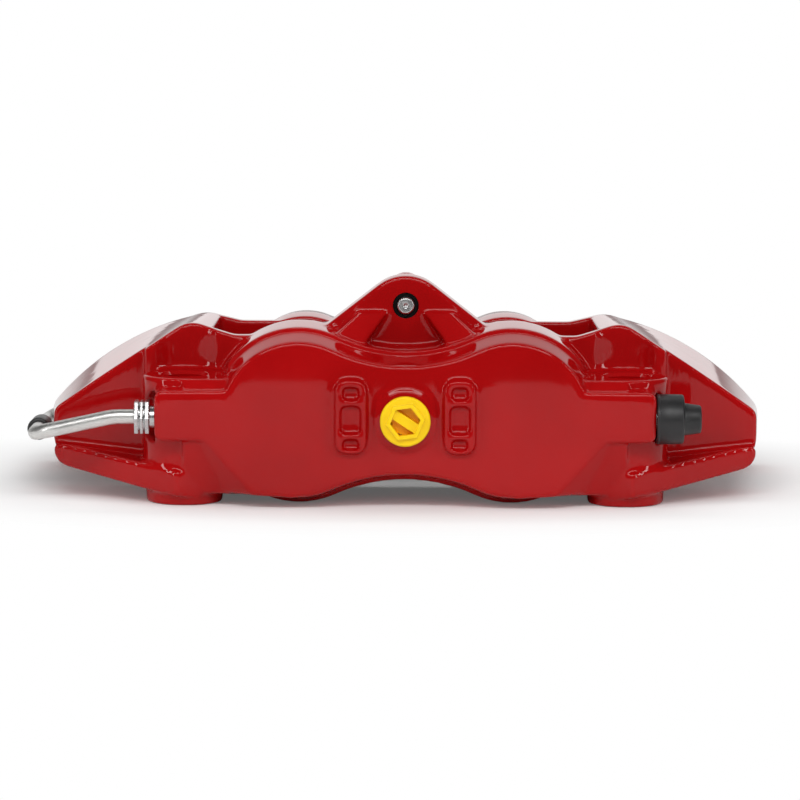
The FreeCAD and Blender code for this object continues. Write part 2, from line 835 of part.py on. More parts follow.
def make_pad_pin():
    """The retaining pin, with a punch mark in its head and a turned-down tail."""
    body = new_body("pad_pin")
    radius = S.pin_diameter / 2
    front = -ear_front - 1.5
    back = S.pad_pocket_half + S.outer_ear_thickness - 0.5
    tail = S.pin_tail_diameter / 2
    turned(body, "Revolution", "pin", "V_Axis", [
        (0, front + 0.8),
        (0.9, front),
        (radius - 0.5, front),
        (radius, front + 0.5),
        (radius, S.pad_pocket_half - 1.5),
        (tail, S.pad_pocket_half - 0.5),
        (tail, back - 1),
        (tail - 0.6, back),
        (0, back),
    ])
    set_down(body, -1)
    bind(body, "Placement.Base.z", S.pin_height)


def make_pin_sleeve():
    """The split spring sleeve that grips the pin in the inboard ear."""
    body = new_body("pin_sleeve")
    inner = S.pin_diameter / 2
    outer = S.sleeve_diameter / 2 - S.bore_fit
    turned(body, "Revolution", "sleeve", "V_Axis", [
        (inner, -ear_front + 0.6),
        (inner, -S.pad_pocket_half - 1),
        (outer, -S.pad_pocket_half - 1),
        (outer, -ear_front + 0.6),
    ])
    slit = [rectangle(-0.5, 0.5, -S.sleeve_diameter, 0)]
    pocket(body, "slit", "XZ_Plane", -ear_front, -S.pad_pocket_half, slit)
    set_down(body, -1)
    bind(body, "Placement.Base.z", S.pin_height)


def make_pad_spring():
    """A bent leaf under the pin: a strip over the disc, with four arms on the rims of the pads."""
    body = new_body("pad_spring")
    top = S.pin_height - S.pin_diameter / 2 - S.spring_pin_gap
    knee = top - S.spring_drop
    tip = knee - S.spring_tip_drop
    thickness = S.spring_thickness
    flat = S.tab_half_width + S.spring_tab_gap + S.spring_arm_neck
    leaf = [
        (-S.spring_half, tip),
        (-S.spring_knee_half, knee, 3),
        (-flat, top, 3),
        (flat, top, 3),
        (S.spring_knee_half, knee, 3),
        (S.spring_half, tip),
        (S.spring_half, tip - thickness),
        (S.spring_knee_half, knee - thickness, 3),
        (flat, top - thickness, 3),
        (-flat, top - thickness, 3),
        (-S.spring_knee_half, knee - thickness, 3),
        (-S.spring_half, tip - thickness),
    ]
    reach = plate_back - 1
    pad(body, "leaf", "XZ_Plane", -reach, reach, [leaf])
    window_half = S.tab_half_width + S.spring_tab_gap
    window_start = S.disc_thickness / 2
    windows = []
    for sign in SIDES:
        windows.append([
            (-window_half, sign * window_start, 1.5),
            (window_half, sign * window_start, 1.5),
            (window_half, sign * (reach + 2)),
            (-window_half, sign * (reach + 2)),
        ])
    pocket(body, "tab_windows", "XY_Plane", top + 2, knee - 5, windows)
    relief_half = slot_half - 1
    reliefs = []
    for sign in SIDES:
        reliefs.append([
            (sign * flat, -relief_half),
            (sign * flat, relief_half),
            (sign * (S.spring_half + 2), relief_half),
            (sign * (S.spring_half + 2), -relief_half),
        ])
    pocket(body, "disc_reliefs", "XY_Plane", top + 2, knee - 5, reliefs)
    set_down(body, -1)


# ---------------------------------------------------------------- pipe, ports and bleed screws


def pipe_route():
    """The corners of the pipe's centre line, with the radius of each bend."""
    nut = -S.block_end - S.neck_length
    line = S.gallery_line
    return [
        (nut, -line, S.piston_height, None),
        (-S.block_end - 14, -line, S.piston_height, 22),
        (-S.pipe_near_end, -line + 2.75, S.pipe_near_height, number(S.pipe_bend)),
        (-S.pipe_far_end, line - 5.75, S.pipe_far_height, number(S.pipe_bend)),
        (-S.block_end - 14, line, S.piston_height, 22),
        (nut, line, S.piston_height, None),
    ]


def pipe_spots(corners):
    return [Vector(*[number(value) for value in corner[:3]]) for corner in corners]


def pipe_path(corners):
    """Straight runs joined by tangent arcs."""
    spots = pipe_spots(corners)
    edges = []
    start = spots[0]
    for i in range(1, len(spots) - 1):
        before = (spots[i - 1] - spots[i]).normalize()
        after = (spots[i + 1] - spots[i]).normalize()
        half_angle = before.getAngle(after) / 2
        radius = corners[i][3]
        setback = radius / math.tan(half_angle)
        centre = spots[i] + (before + after).normalize() * (radius / math.sin(half_angle))
        middle = centre + (spots[i] - centre).normalize() * radius
        first = spots[i] + before * setback
        last = spots[i] + after * setback
        edges.append(Part.LineSegment(start, first).toShape())
        edges.append(Part.Arc(first, middle, last).toShape())
        start = last
    edges.append(Part.LineSegment(start, spots[-1]).toShape())
    return Part.Wire(edges)


def make_crossover_pipe():
    """The steel pipe that links the two halves round the end of the bridge."""
    path = pipe_path(pipe_route())
    radius = number(S.pipe_diameter) / 2
    tubes = []
    for size in (radius, radius - number(S.pipe_wall)):
        ring = Part.Wire(Part.Circle(path.Edges[0].Vertexes[0].Point, Vector(1, 0, 0), size).toShape())
        tubes.append(path.makePipeShell([ring], True, False))
    pipe = doc.addObject("Part::Feature", "crossover_pipe")
    pipe.Label = "crossover_pipe"
    pipe.Shape = tubes[0].cut(tubes[1])
    bind(pipe, "Placement.Base.y", S.bolt_line)


def make_pipe_hose():
    """The rubber sleeve that keeps the pipe off the end of the bridge."""
    body = new_body("pipe_hose")
    inner = S.pipe_diameter / 2 + S.bore_fit
    outer = S.hose_diameter / 2
    start = S.hose_start
    stop = S.hose_start + S.hose_length
    turned(body, "Revolution", "sleeve", "V_Axis", [
        (inner, start),
        (outer - 0.4, start),
        (outer, start + 0.4),
        (outer, stop - 0.4),
        (outer - 0.4, stop),
        (inner, stop),
    ])
    spots = pipe_spots(pipe_route())
    along = Rotation(Vector(0, 1, 0), spots[3] - spots[2])
    body.Placement = Placement(spots[2] + Vector(0, number(S.bolt_line), 0), along)


def make_tube_nut(side):
    """A flare nut: hexagon with two grip grooves, an undercut neck and a shank in the port."""
    body = new_body(f"tube_nut_{half_name(side)}")
    flats = S.nut_flats
    hex_start = -S.neck_length
    hex_end = -S.neck_length - S.nut_length
    shank = S.port_diameter / 2 - S.thread_gap
    hole = S.pipe_diameter / 2
    pad(body, "hexagon", "YZ_Plane", hex_start, hex_end, [hexagon(0, 0, flats)])
    turned(body, "Revolution", "shank", "H_Axis", [
        (hex_start - 1, 0),
        (hex_start - 1, S.neck_diameter / 2),
        (0.3, S.neck_diameter / 2),
        (0.3, shank),
        (S.port_depth - 2, shank),
        (S.port_depth - 0.5, S.gallery_diameter / 2 + 1),
        (S.port_depth - 0.5, 0),
    ])
    for index in (1, 2):
        at = hex_start - S.nut_length * index / 3
        turned(body, "Groove", f"grip_{index}", "H_Axis", [
            (at - 0.3, flats / 2 - 0.4),
            (at + 0.3, flats / 2 - 0.4),
            (at + 0.3, flats),
            (at - 0.3, flats),
        ])
    pocket(body, "pipe_hole", "YZ_Plane", hex_end, 0, [circle(0, 0, hole)])
    pocket(body, "fluid_hole", "YZ_Plane", 0, S.port_depth, [circle(0, 0, S.gallery_diameter / 2)])
    bind(body, "Placement.Base.x", -S.block_end)
    bind(body, "Placement.Base.y", S.bolt_line + side * S.gallery_line)
    bind(body, "Placement.Base.z", S.piston_height)


def cap_cavity():
    """Radius of the cap's hollow, which clears the bleed screw's hexagon."""
    return S.bleed_flats / math.sqrt(3) + 1.6


def make_bleed_screw(side):
    """A bleed screw: sealing cone, shank, hexagon and hose nipple, cross drilled to its bore."""
    body = new_body(f"bleed_screw_{half_name(side)}")
    shank = S.port_diameter / 2 - S.thread_gap
    nipple = 3
    hex_start = S.neck_length
    hex_end = S.neck_length + S.nut_length
    tip = S.cap_length + 4.6
    pad(body, "hexagon", "YZ_Plane", hex_start, hex_end, [hexagon(0, 0, S.bleed_flats)])
    turned(body, "Revolution", "stem", "H_Axis", [
        (-S.port_depth + 0.5, 0),
        (-S.port_depth + 0.5, 1.2),
        (-S.port_depth + 3.5, shank - 1.4),
        (-S.port_depth + 4.5, shank),
        (-0.3, shank),
        (-0.3, S.neck_diameter / 2),
        (hex_start + 1, S.neck_diameter / 2),
        (hex_start + 1, nipple - 0.5),
        (hex_end + 3, nipple - 0.5),
        (tip - 3, nipple),
        (tip, nipple - 1.2),
        (tip, 0),
    ])
    pocket(body, "bore", "YZ_Plane", tip, -S.port_depth + 6, [circle(0, 0, 1)])
    pocket(body, "cross_bore", "XZ_Plane", -S.nut_flats, S.nut_flats, [circle(-S.port_depth + 6.5, 0, 0.9)])
    bind(body, "Placement.Base.x", S.block_end)
    bind(body, "Placement.Base.y", S.bolt_line + side * S.gallery_line)
    bind(body, "Placement.Base.z", S.piston_height)


def make_bleed_cap(side):
    """The rubber cap over the bleed screw: a wide skirt and a tapered tip."""
    body = new_body(f"bleed_cap_{half_name(side)}")
    radius = S.cap_diameter / 2
    tip_end = S.cap_length + 6
    turned(body, "Revolution", "cap", "H_Axis", [
        (0.1, cap_cavity()),
        (0.1, radius - 0.5),
        (0.6, radius),
        (S.cap_length - 0.8, radius),
        (S.cap_length, radius - 0.8),
        (S.cap_length, 5.6),
        (tip_end - 0.5, 4.8),
        (tip_end, 4.3),
        (tip_end, 0),
        (tip_end - 1.2, 0),
        (tip_end - 1.2, 3.9),
        (S.cap_length - 1.6, 3.9),
        (S.cap_length - 1.6, cap_cavity()),
    ])
    bind(body, "Placement.Base.x", S.block_end)
    bind(body, "Placement.Base.y", S.bolt_line + side * S.gallery_line)
    bind(body, "Placement.Base.z", S.piston_height)


def make_inlet_plug():
    """The plastic plug that closes the inlet: flange, raised hexagon and a hexagon socket with a bar."""
    body = new_body("inlet_plug")
    face = -S.half_width - 1.2
    flange = S.inlet_flange_diameter / 2
    shank = S.inlet_port_diameter / 2 - S.thread_gap
    turned(body, "Revolution", "flange", "V_Axis", [
        (0, face - 0.1),
        (flange, face - 0.1),
        (flange, face - 1.7),
        (flange - 0.5, face - 2.2),
        (0, face - 2.2),
    ])
    turned(body, "Revolution", "shank", "V_Axis", [
        (0, face - 1),
        (shank, face - 1),
        (shank, face + 6.5),
        (shank - 0.8, face + 7.3),
        (0, face + 7.3),
    ])
    outer_flats = 11.6
    inner_flats = 9.0
    pad(body, "raised_hexagon", "XZ_Plane", face - 1.5, face - 3.4, [hexagon(0, 0, outer_flats, 8)])
    pocket(body, "socket", "XZ_Plane", face - 3.4, face + 0.6, [hexagon(0, 0, inner_flats, 8)])
    lean = math.radians(-33)
    bar = []
    for along, across in ((-1, -1), (1, -1), (1, 1), (-1, 1)):
        x = along * 4.6 * math.cos(lean) - across * 1.7 * math.sin(lean)
        up = along * 4.6 * math.sin(lean) + across * 1.7 * math.cos(lean)
        bar.append((x, up))
    pad(body, "bar", "XZ_Plane", face + 1.5, face - 2.0, [bar])
    set_down(body, -1)
    bind(body, "Placement.Base.z", S.piston_height)


# ---------------------------------------------------------------- the whole caliper

make_caliper_body()
for side in SIDES:
    for end in SIDES:
        make_piston(side, end)
        for name in SEAL_BANDS:
            make_seal(name, side, end)
        make_abutment(side, end)
    make_backplate(side)
    make_friction(side)
    make_shim(side)
    make_tube_nut(side)
    make_bleed_screw(side)
    make_bleed_cap(side)
make_pad_pin()
make_pin_sleeve()
make_pad_spring()
make_crossover_pipe()
make_pipe_hose()
make_inlet_plug()
doc.recompute()

for item in doc.Objects:
    if "Invalid" in item.State or "Error" in item.State:
        raise RuntimeError(f"{item.Name} failed to build")

nodes = [item for item in doc.Objects if item.TypeId in ("PartDesign::Body", "Part::Feature")]
for node in nodes:
    if node.Shape.isNull() or not node.Shape.isValid() or not node.Shape.Solids:
        raise RuntimeError(f"{node.Label} has no valid solid")

os.makedirs("parts", exist_ok=True)
for node in nodes:
    node.Shape.exportStep(f"parts/{node.Label}.step")
    print(node.Label, len(node.Shape.Solids), round(node.Shape.Volume / 1000, 2), "cm3")
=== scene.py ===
import math

import bpy
from mathutils import Matrix, Vector


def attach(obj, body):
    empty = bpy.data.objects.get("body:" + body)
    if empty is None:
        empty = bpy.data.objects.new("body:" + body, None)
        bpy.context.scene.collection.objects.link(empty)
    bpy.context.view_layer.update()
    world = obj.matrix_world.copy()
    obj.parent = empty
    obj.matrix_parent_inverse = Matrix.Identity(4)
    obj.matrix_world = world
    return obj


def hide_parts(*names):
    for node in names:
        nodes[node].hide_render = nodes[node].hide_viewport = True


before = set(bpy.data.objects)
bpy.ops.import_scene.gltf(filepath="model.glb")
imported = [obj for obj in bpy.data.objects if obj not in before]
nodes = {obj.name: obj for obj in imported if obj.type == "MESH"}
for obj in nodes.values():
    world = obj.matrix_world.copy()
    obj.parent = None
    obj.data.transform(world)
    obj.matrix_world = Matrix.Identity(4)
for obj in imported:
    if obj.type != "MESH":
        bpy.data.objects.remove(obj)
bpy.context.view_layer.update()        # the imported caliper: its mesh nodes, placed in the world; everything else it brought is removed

mm = 0.001

# The view

view = {
    "aim": (0.0, 0.055, 0.040),      # middle of the disc slot
    "distance": 1.715,
    "elevation": 6.92,
    "roll": 0.28,
    "lens": 217.0,
    "sensor": 36.0,
    "shift": (-0.0069, -0.0412),
    "clipEnd": 60.0,
}


def placeCamera():
    up = math.radians(view["elevation"])
    back = Vector((0, -math.cos(up), math.sin(up)))
    camera = bpy.data.cameras.new("viewCamera")
    camera.lens = view["lens"]
    camera.sensor_width = view["sensor"]
    camera.shift_x, camera.shift_y = view["shift"]
    camera.clip_end = view["clipEnd"]
    placed = bpy.data.objects.new("viewCamera", camera)
    bpy.context.scene.collection.objects.link(placed)
    turn = (-back).to_track_quat("-Z", "Y").to_matrix().to_4x4()
    turn = turn @ Matrix.Rotation(math.radians(view["roll"]), 4, "Z")
    placed.matrix_world = Matrix.Translation(Vector(view["aim"]) + back * view["distance"]) @ turn
    bpy.context.scene.camera = placed


placeCamera()
print("camera placed")


# Finishes

class Signal:
    # one output of a shader node, so that masks and patterns read as plain sums
    def __init__(self, shading, socket):
        self.shading = shading
        self.socket = socket

    def __add__(self, other):
        return self.shading.maths("ADD", self, other)

    def __radd__(self, other):
        return self.shading.maths("ADD", other, self)

    def __sub__(self, other):
        return self.shading.maths("SUBTRACT", self, other)

    def __rsub__(self, other):
        return self.shading.maths("SUBTRACT", other, self)

    def __mul__(self, other):
        return self.shading.maths("MULTIPLY", self, other)

    def __rmul__(self, other):
        return self.shading.maths("MULTIPLY", other, self)


class Shading:
    # the node tree of a material or of the world
    def __init__(self, owner):
        owner.use_nodes = True
        self.tree = owner.node_tree
        self.tree.nodes.clear()

    def add(self, kind, settings, values, output=0):
        node = self.tree.nodes.new(kind)
        for key, value in settings.items():
            setattr(node, key, value)
        for key, value in values.items():
            self.put(node.inputs[key], value)
        return Signal(self, node.outputs[output] if len(node.outputs) else None)

    def put(self, socket, value):
        if isinstance(value, Signal):
            self.tree.links.new(value.socket, socket)
        elif isinstance(value, tuple) and len(value) == 3 and len(socket.default_value) == 4:
            socket.default_value = value + (1,)       # a colour, which is solid
        else:
            socket.default_value = value

    def maths(self, operation, first, second):
        return self.add("ShaderNodeMath", {"operation": operation}, {0: first, 1: second})

    def vectors(self, operation, first, second):
        return self.add("ShaderNodeVectorMath", {"operation": operation}, {0: first, 1: second})

    def ramp(self, signal, low, high, start=0, stop=1):
        return self.add("ShaderNodeMapRange", {}, {
            "Value": signal, "From Min": low, "From Max": high, "To Min": start, "To Max": stop,
        })


class Finish(Shading):
    # a material of one shader, with patterns that lie fixed in the piece
    def __init__(self, name):
        self.material = bpy.data.materials.new(name)
        super().__init__(self.material)
        self.place = self.add("ShaderNodeTexCoord", {}, {}, "Object")
        self.shader = self.add("ShaderNodeBsdfPrincipled", {}, {})
        self.add("ShaderNodeOutputMaterial", {}, {"Surface": self.shader})

    def set(self, **values):
        for key, value in values.items():
            self.put(self.shader.socket.node.inputs[key.replace("_", " ")], value)

    def noise(self, size, detail=2, roughness=0.5, stretch=(1, 1, 1)):
        where = self.add("ShaderNodeMapping", {}, {"Vector": self.place, "Scale": stretch})
        return self.add("ShaderNodeTexNoise", {}, {
            "Vector": where, "Scale": 1 / size, "Detail": detail, "Roughness": roughness,
        })

    def blend(self, amount, first, second):
        return self.add("ShaderNodeMix", {"data_type": "RGBA"}, {0: amount, 6: first, 7: second}, 2)

    def bump(self, height, depth, strength=1.0):
        return self.add("ShaderNodeBump", {}, {"Height": height, "Distance": depth, "Strength": strength})


def screen(red, green, blue):
    # a colour as it looks on a screen, 0 to 255, made linear
    return tuple(((c / 255 + 0.055) / 1.055) ** 2.4 if c > 10 else c / 3294.6 for c in (red, green, blue))


noiseSpan = (0.3, 0.7)           # nearly all of a noise lies between these
middleSpan = (0.35, 0.65)        # and most of it between these


def paintFinish():
    look = {
        "deep": screen(154, 7, 9), "light": screen(166, 10, 13), "clouds": 38 * mm,
        "rough": (0.34, 0.42), "patches": 9 * mm,
        "peel": 1.7 * mm, "grain": 0.5 * mm, "depth": 0.015 * mm, "strength": 0.4,
        "coatRough": 0.04, "coatIndex": 1.34,
    }
    paint = Finish("redPaint")
    clouds = paint.ramp(paint.noise(look["clouds"], 3), *middleSpan)
    surface = paint.noise(look["peel"], 1) * 0.8 + paint.noise(look["grain"], 2) * 0.1
    paint.set(
        Base_Color=paint.blend(clouds, look["deep"], look["light"]),
        Roughness=paint.ramp(paint.noise(look["patches"], 3), *noiseSpan, *look["rough"]),
        Specular_IOR_Level=0.0,
        Coat_Weight=1.0, Coat_Roughness=look["coatRough"], Coat_IOR=look["coatIndex"],
        Normal=paint.bump(surface, look["depth"], look["strength"]),
    )
    return paint.material


def metalFinish(name, colour, rough, mark=0.4 * mm, stretch=(1, 1, 1)):
    # mark is the size of the tool marks, and stretch packs them closer along X, Y or Z
    look = {"dull": 0.78, "patches": 6 * mm, "spread": 0.08, "depth": 0.004 * mm}
    metal = Finish(name)
    marks = metal.noise(mark, 3, 0.6, stretch)
    patches = metal.noise(look["patches"], 3)
    dull = tuple(c * look["dull"] for c in colour)
    low, high = rough - look["spread"], rough + look["spread"]
    metal.set(
        Base_Color=metal.blend(metal.ramp(marks * 0.6 + patches * 0.4, *middleSpan), dull, colour),
        Metallic=1.0,
        Roughness=metal.ramp(marks * 0.5 + patches * 0.5, *noiseSpan, low, high),
        Normal=metal.bump(marks, look["depth"]),
    )
    return metal.material


def rubberFinish(name, low, high, rough):
    look = {"clouds": 7 * mm, "grain": 0.5 * mm, "depth": 0.01 * mm, "smoother": 0.06, "rougher": 0.08}
    rubber = Finish(name)
    clouds = rubber.ramp(rubber.noise(look["clouds"], 3), *noiseSpan)
    grain = rubber.noise(look["grain"], 3)
    rubber.set(
        Base_Color=rubber.blend(clouds, low, high),
        Roughness=rubber.ramp(grain, *noiseSpan, rough - look["smoother"], rough + look["rougher"]),
        Normal=rubber.bump(grain, look["depth"]),
    )
    return rubber.material


def plugFinish():
    look = {
        "face": screen(247, 208, 6), "worn": screen(241, 200, 4), "clouds": 7 * mm,
        # socket is a painted light colour, the deeper orange that light through the plastic gives the recess
        "socket": screen(246, 176, 0),
        "paintedLightDepths": (-22.9 * mm, -22.3 * mm),     # painted light: between these places on Y the recess is painted a deeper orange, for light shining through the plastic
        "rough": (0.34, 0.48), "grain": 0.5 * mm, "depth": 0.01 * mm,
    }
    plug = Finish("yellowPlastic")
    deep = plug.add("ShaderNodeSeparateXYZ", {}, {"Vector": plug.place}, "Y")
    # mask of the recess, where the deeper orange of painted light goes
    paintedLightMask = plug.ramp(deep, *look["paintedLightDepths"])
    clouds = plug.ramp(plug.noise(look["clouds"], 3), *noiseSpan)
    grain = plug.noise(look["grain"], 3)
    plug.set(
        Base_Color=plug.blend(paintedLightMask, plug.blend(clouds, look["worn"], look["face"]), look["socket"]),
        Roughness=plug.ramp(grain, *noiseSpan, *look["rough"]),
        Coat_Weight=0.1, Coat_Roughness=0.2, Specular_IOR_Level=0.25,
        Normal=plug.bump(grain, look["depth"]),
    )
    return plug.material


def frictionFinish():
    look = {
        "binder": screen(62, 58, 56), "fleck": screen(120, 112, 104), "brass": screen(150, 120, 70),
        "flecks": 1.1 * mm, "fleckSpan": (0.55, 0.9), "chips": 0.7 * mm, "chipSpan": (0.66, 0.70),
        "pits": 0.8 * mm, "depth": 0.12 * mm, "rough": 0.88,
    }
    pad = Finish("frictionMaterial")
    scale = 1 / look["flecks"]
    cells = pad.add("ShaderNodeTexVoronoi", {}, {"Vector": pad.place, "Scale": scale}, "Color")
    tone = pad.add("ShaderNodeSeparateColor", {}, {"Color": cells})
    colour = pad.blend(pad.ramp(tone, *look["fleckSpan"]), look["binder"], look["fleck"])
    chips = pad.ramp(pad.noise(look["chips"], 2), *look["chipSpan"])
    colour = pad.blend(chips, colour, look["brass"])
    pad.set(
        Base_Color=colour, Roughness=look["rough"], Specular_IOR_Level=0.25,
        Normal=pad.bump(pad.noise(look["pits"], 4, 0.7), look["depth"]),
    )
    return pad.material


def plateFinish():
    look = {
        "coat": screen(38, 39, 41), "steel": screen(104, 104, 106),
        "wear": 14 * mm, "wearSpan": (0.66, 0.74),
        "rough": (0.42, 0.58), "grain": 0.35 * mm, "depth": 0.02 * mm,
    }
    plate = Finish("plateCoating")
    wear = plate.ramp(plate.noise(look["wear"], 5, 0.65), *look["wearSpan"])
    grain = plate.noise(look["grain"], 3)
    plate.set(
        Base_Color=plate.blend(wear, look["coat"], look["steel"]), Metallic=wear,
        Roughness=plate.ramp(grain, *noiseSpan, *look["rough"]),
        Normal=plate.bump(grain, look["depth"]),
    )
    return plate.material


finishes = {
    "red_paint": paintFinish(),
    "piston_metal": metalFinish("pistonMetal", screen(205, 206, 208), 0.24, 1.4 * mm),
    "seal_rubber": rubberFinish("sealRubber", screen(34, 34, 35), screen(44, 44, 45), 0.6),
    "stainless": metalFinish("stainlessSheet", screen(196, 194, 190), 0.30, 2.4 * mm, (12, 1, 1)),
    "plate_steel": plateFinish(),
    "friction": frictionFinish(),
    "plated_steel": metalFinish("zincPlate", screen(206, 206, 206), 0.27, 0.7 * mm),
    "dark_spring_steel": metalFinish("darkSpringSteel", screen(34, 33, 33), 0.42),
    "pipe_steel": metalFinish("pipeSteel", screen(226, 225, 222), 0.38, 1.2 * mm, (1, 1, 6)),
    "black_rubber": rubberFinish("blackRubber", screen(24, 24, 25), screen(34, 33, 34), 0.42),
    "yellow_plastic": plugFinish(),
}
bareMetal = metalFinish("machinedAluminium", screen(200, 201, 203), 0.32, 0.5 * mm)

for node in nodes.values():
    slotName = node.data.materials[0].name.split(".")[0]
    node.data.materials.clear()
    node.data.materials.append(finishes[slotName])
print("finishes made and put on the packed nodes")


# Tools for the pieces

weldReach = 0.002 * mm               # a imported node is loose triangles, welded before it is shaped


def pick(*pieces):
    bpy.ops.object.select_all(action="DESELECT")
    for piece in pieces:
        piece.select_set(True)
    if pieces:
        bpy.context.view_layer.objects.active = pieces[0]


def settle(piece):
    pick(piece)
    bpy.ops.object.transform_apply(location=True, rotation=True, scale=True)


def applied(piece, kind, **settings):
    pick(piece)
    modifier = piece.modifiers.new(kind.lower(), kind)
    for key, value in settings.items():
        setattr(modifier, key, value)
    bpy.ops.object.modifier_apply(modifier=modifier.name)


def thinned(piece, triangles):
    # every face still has four corners here, so it counts as two triangles
    applied(piece, "DECIMATE", ratio=min(1, triangles / (2 * len(piece.data.polygons))))


def copyOf(node, name):
    piece = bpy.data.objects.new(name, nodes[node].data.copy())
    bpy.context.scene.collection.objects.link(piece)
    pick(piece)
    bpy.ops.object.mode_set(mode="EDIT")
    bpy.ops.mesh.select_all(action="SELECT")
    bpy.ops.mesh.remove_doubles(threshold=weldReach)
    bpy.ops.object.mode_set(mode="OBJECT")
    return piece


def turnedPiece(name, start, along, outline, sides):
    # outline holds (distance along the axis, radius) from one end to the other
    axis = Vector(along).normalized()
    centre = Vector(start) + axis * outline[0][0]
    pick()
    bpy.ops.mesh.primitive_circle_add(
        vertices=sides, radius=outline[0][1], fill_type="NGON",
        location=centre, rotation=axis.to_track_quat("Z", "Y").to_euler(),
    )
    piece = bpy.context.object
    piece.name = piece.data.name = name
    settle(piece)
    bpy.ops.object.mode_set(mode="EDIT")
    bpy.ops.mesh.select_all(action="SELECT")
    for (before, wide), (after, narrow) in zip(outline, outline[1:]):
        step = axis * (after - before)
        centre = centre + step
        bpy.ops.mesh.extrude_region_move(TRANSFORM_OT_translate={"value": step})
        if narrow != wide:
            bpy.ops.transform.resize(value=(narrow / wide,) * 3, center_override=centre)
    bpy.ops.mesh.select_all(action="SELECT")
    bpy.ops.mesh.normals_make_consistent(inside=False)
    bpy.ops.object.mode_set(mode="OBJECT")
    return piece


def joined(name, pieces):
    pick(*pieces)
    bpy.ops.object.join()
    piece = bpy.context.object
    piece.name = piece.data.name = name
    return piece


def cutAway(piece, cutter):
    applied(piece, "BOOLEAN", operation="DIFFERENCE", object=cutter, solver="MANIFOLD")
    bpy.data.objects.remove(cutter)


def finished(piece, slotName, body, replaced, angle):
    # edges that turn by more than angle degrees stay crisp
    if not piece.data.materials:
        piece.data.materials.append(None)
    piece.data.materials[0] = finishes[slotName]
    pick(piece)
    bpy.ops.object.shade_smooth_by_angle(angle=math.radians(angle))
    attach(piece, body)
    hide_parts(*replaced)
    return piece


# The casting: one soft skin, then the machined holes cut crisply into it

casting = {
    "voxel": 0.55 * mm,
    "softenPasses": 18,
    "soften": 0.5,
    "triangles": 170000,
    "lastPasses": 8,
    "crispAngle": 40,
    "boltPitch": 152 * mm,
    "boltHole": 14.5 * mm,
    "boltChamfer": 1 * mm,
    "boltSides": 72,
    "seatHeight": 44 * mm,
    "seatRoom": 6 * mm,               # the bolt's cutter ends this far above its seat
    "disc": 55 * mm,                  # the disc's middle plane
    "slotHalf": 35 * mm,              # the bores open this far from it
    "borePitch": 73 * mm,
    "boreHeight": 30.7 * mm,
    "boreRadius": 19.05 * mm,
    "boreDepth": 32 * mm,
    "boreSides": 96,
    "grooveRadius": 21.4 * mm,
    "grooves": ((3 * mm, 6 * mm), (10 * mm, 14 * mm)),    # from the mouth of a bore
    "blockEnd": 85.7 * mm,
    "portLine": 67.75 * mm,
    "port": 4 * mm,
    "portDepth": 12 * mm,
    "portSides": 64,
    "spotFace": 9.1 * mm,
    "spotRoom": 8 * mm,
    "pinHeight": 67 * mm,
    "earThickness": 11 * mm,
    "farEarThickness": 7 * mm,
    "sleeveHole": 4.5 * mm,
    "sleeveSides": 48,
    "tailHole": 1.75 * mm,
    "tailSides": 32,
    "inletFace": -21.2 * mm,
    "inletPort": 5 * mm,
    "inletDepth": 13.5 * mm,
    "inletSides": 48,
    "boltLid": 9.5 * mm,              # lids are a little wider than their holes
    "boreLid": 20.5 * mm,
    "portLid": 5 * mm,
    "inletLid": 6 * mm,
    "sleeveLid": 5.5 * mm,
    "tailLid": 2.2 * mm,
    "lidDepth": 3 * mm,
    "lidSides": 40,
    "overrun": 1 * mm,                # cutters start and end this far outside the metal
    "allPaint": 0 * mm,
    "allBare": 1000 * mm,
}


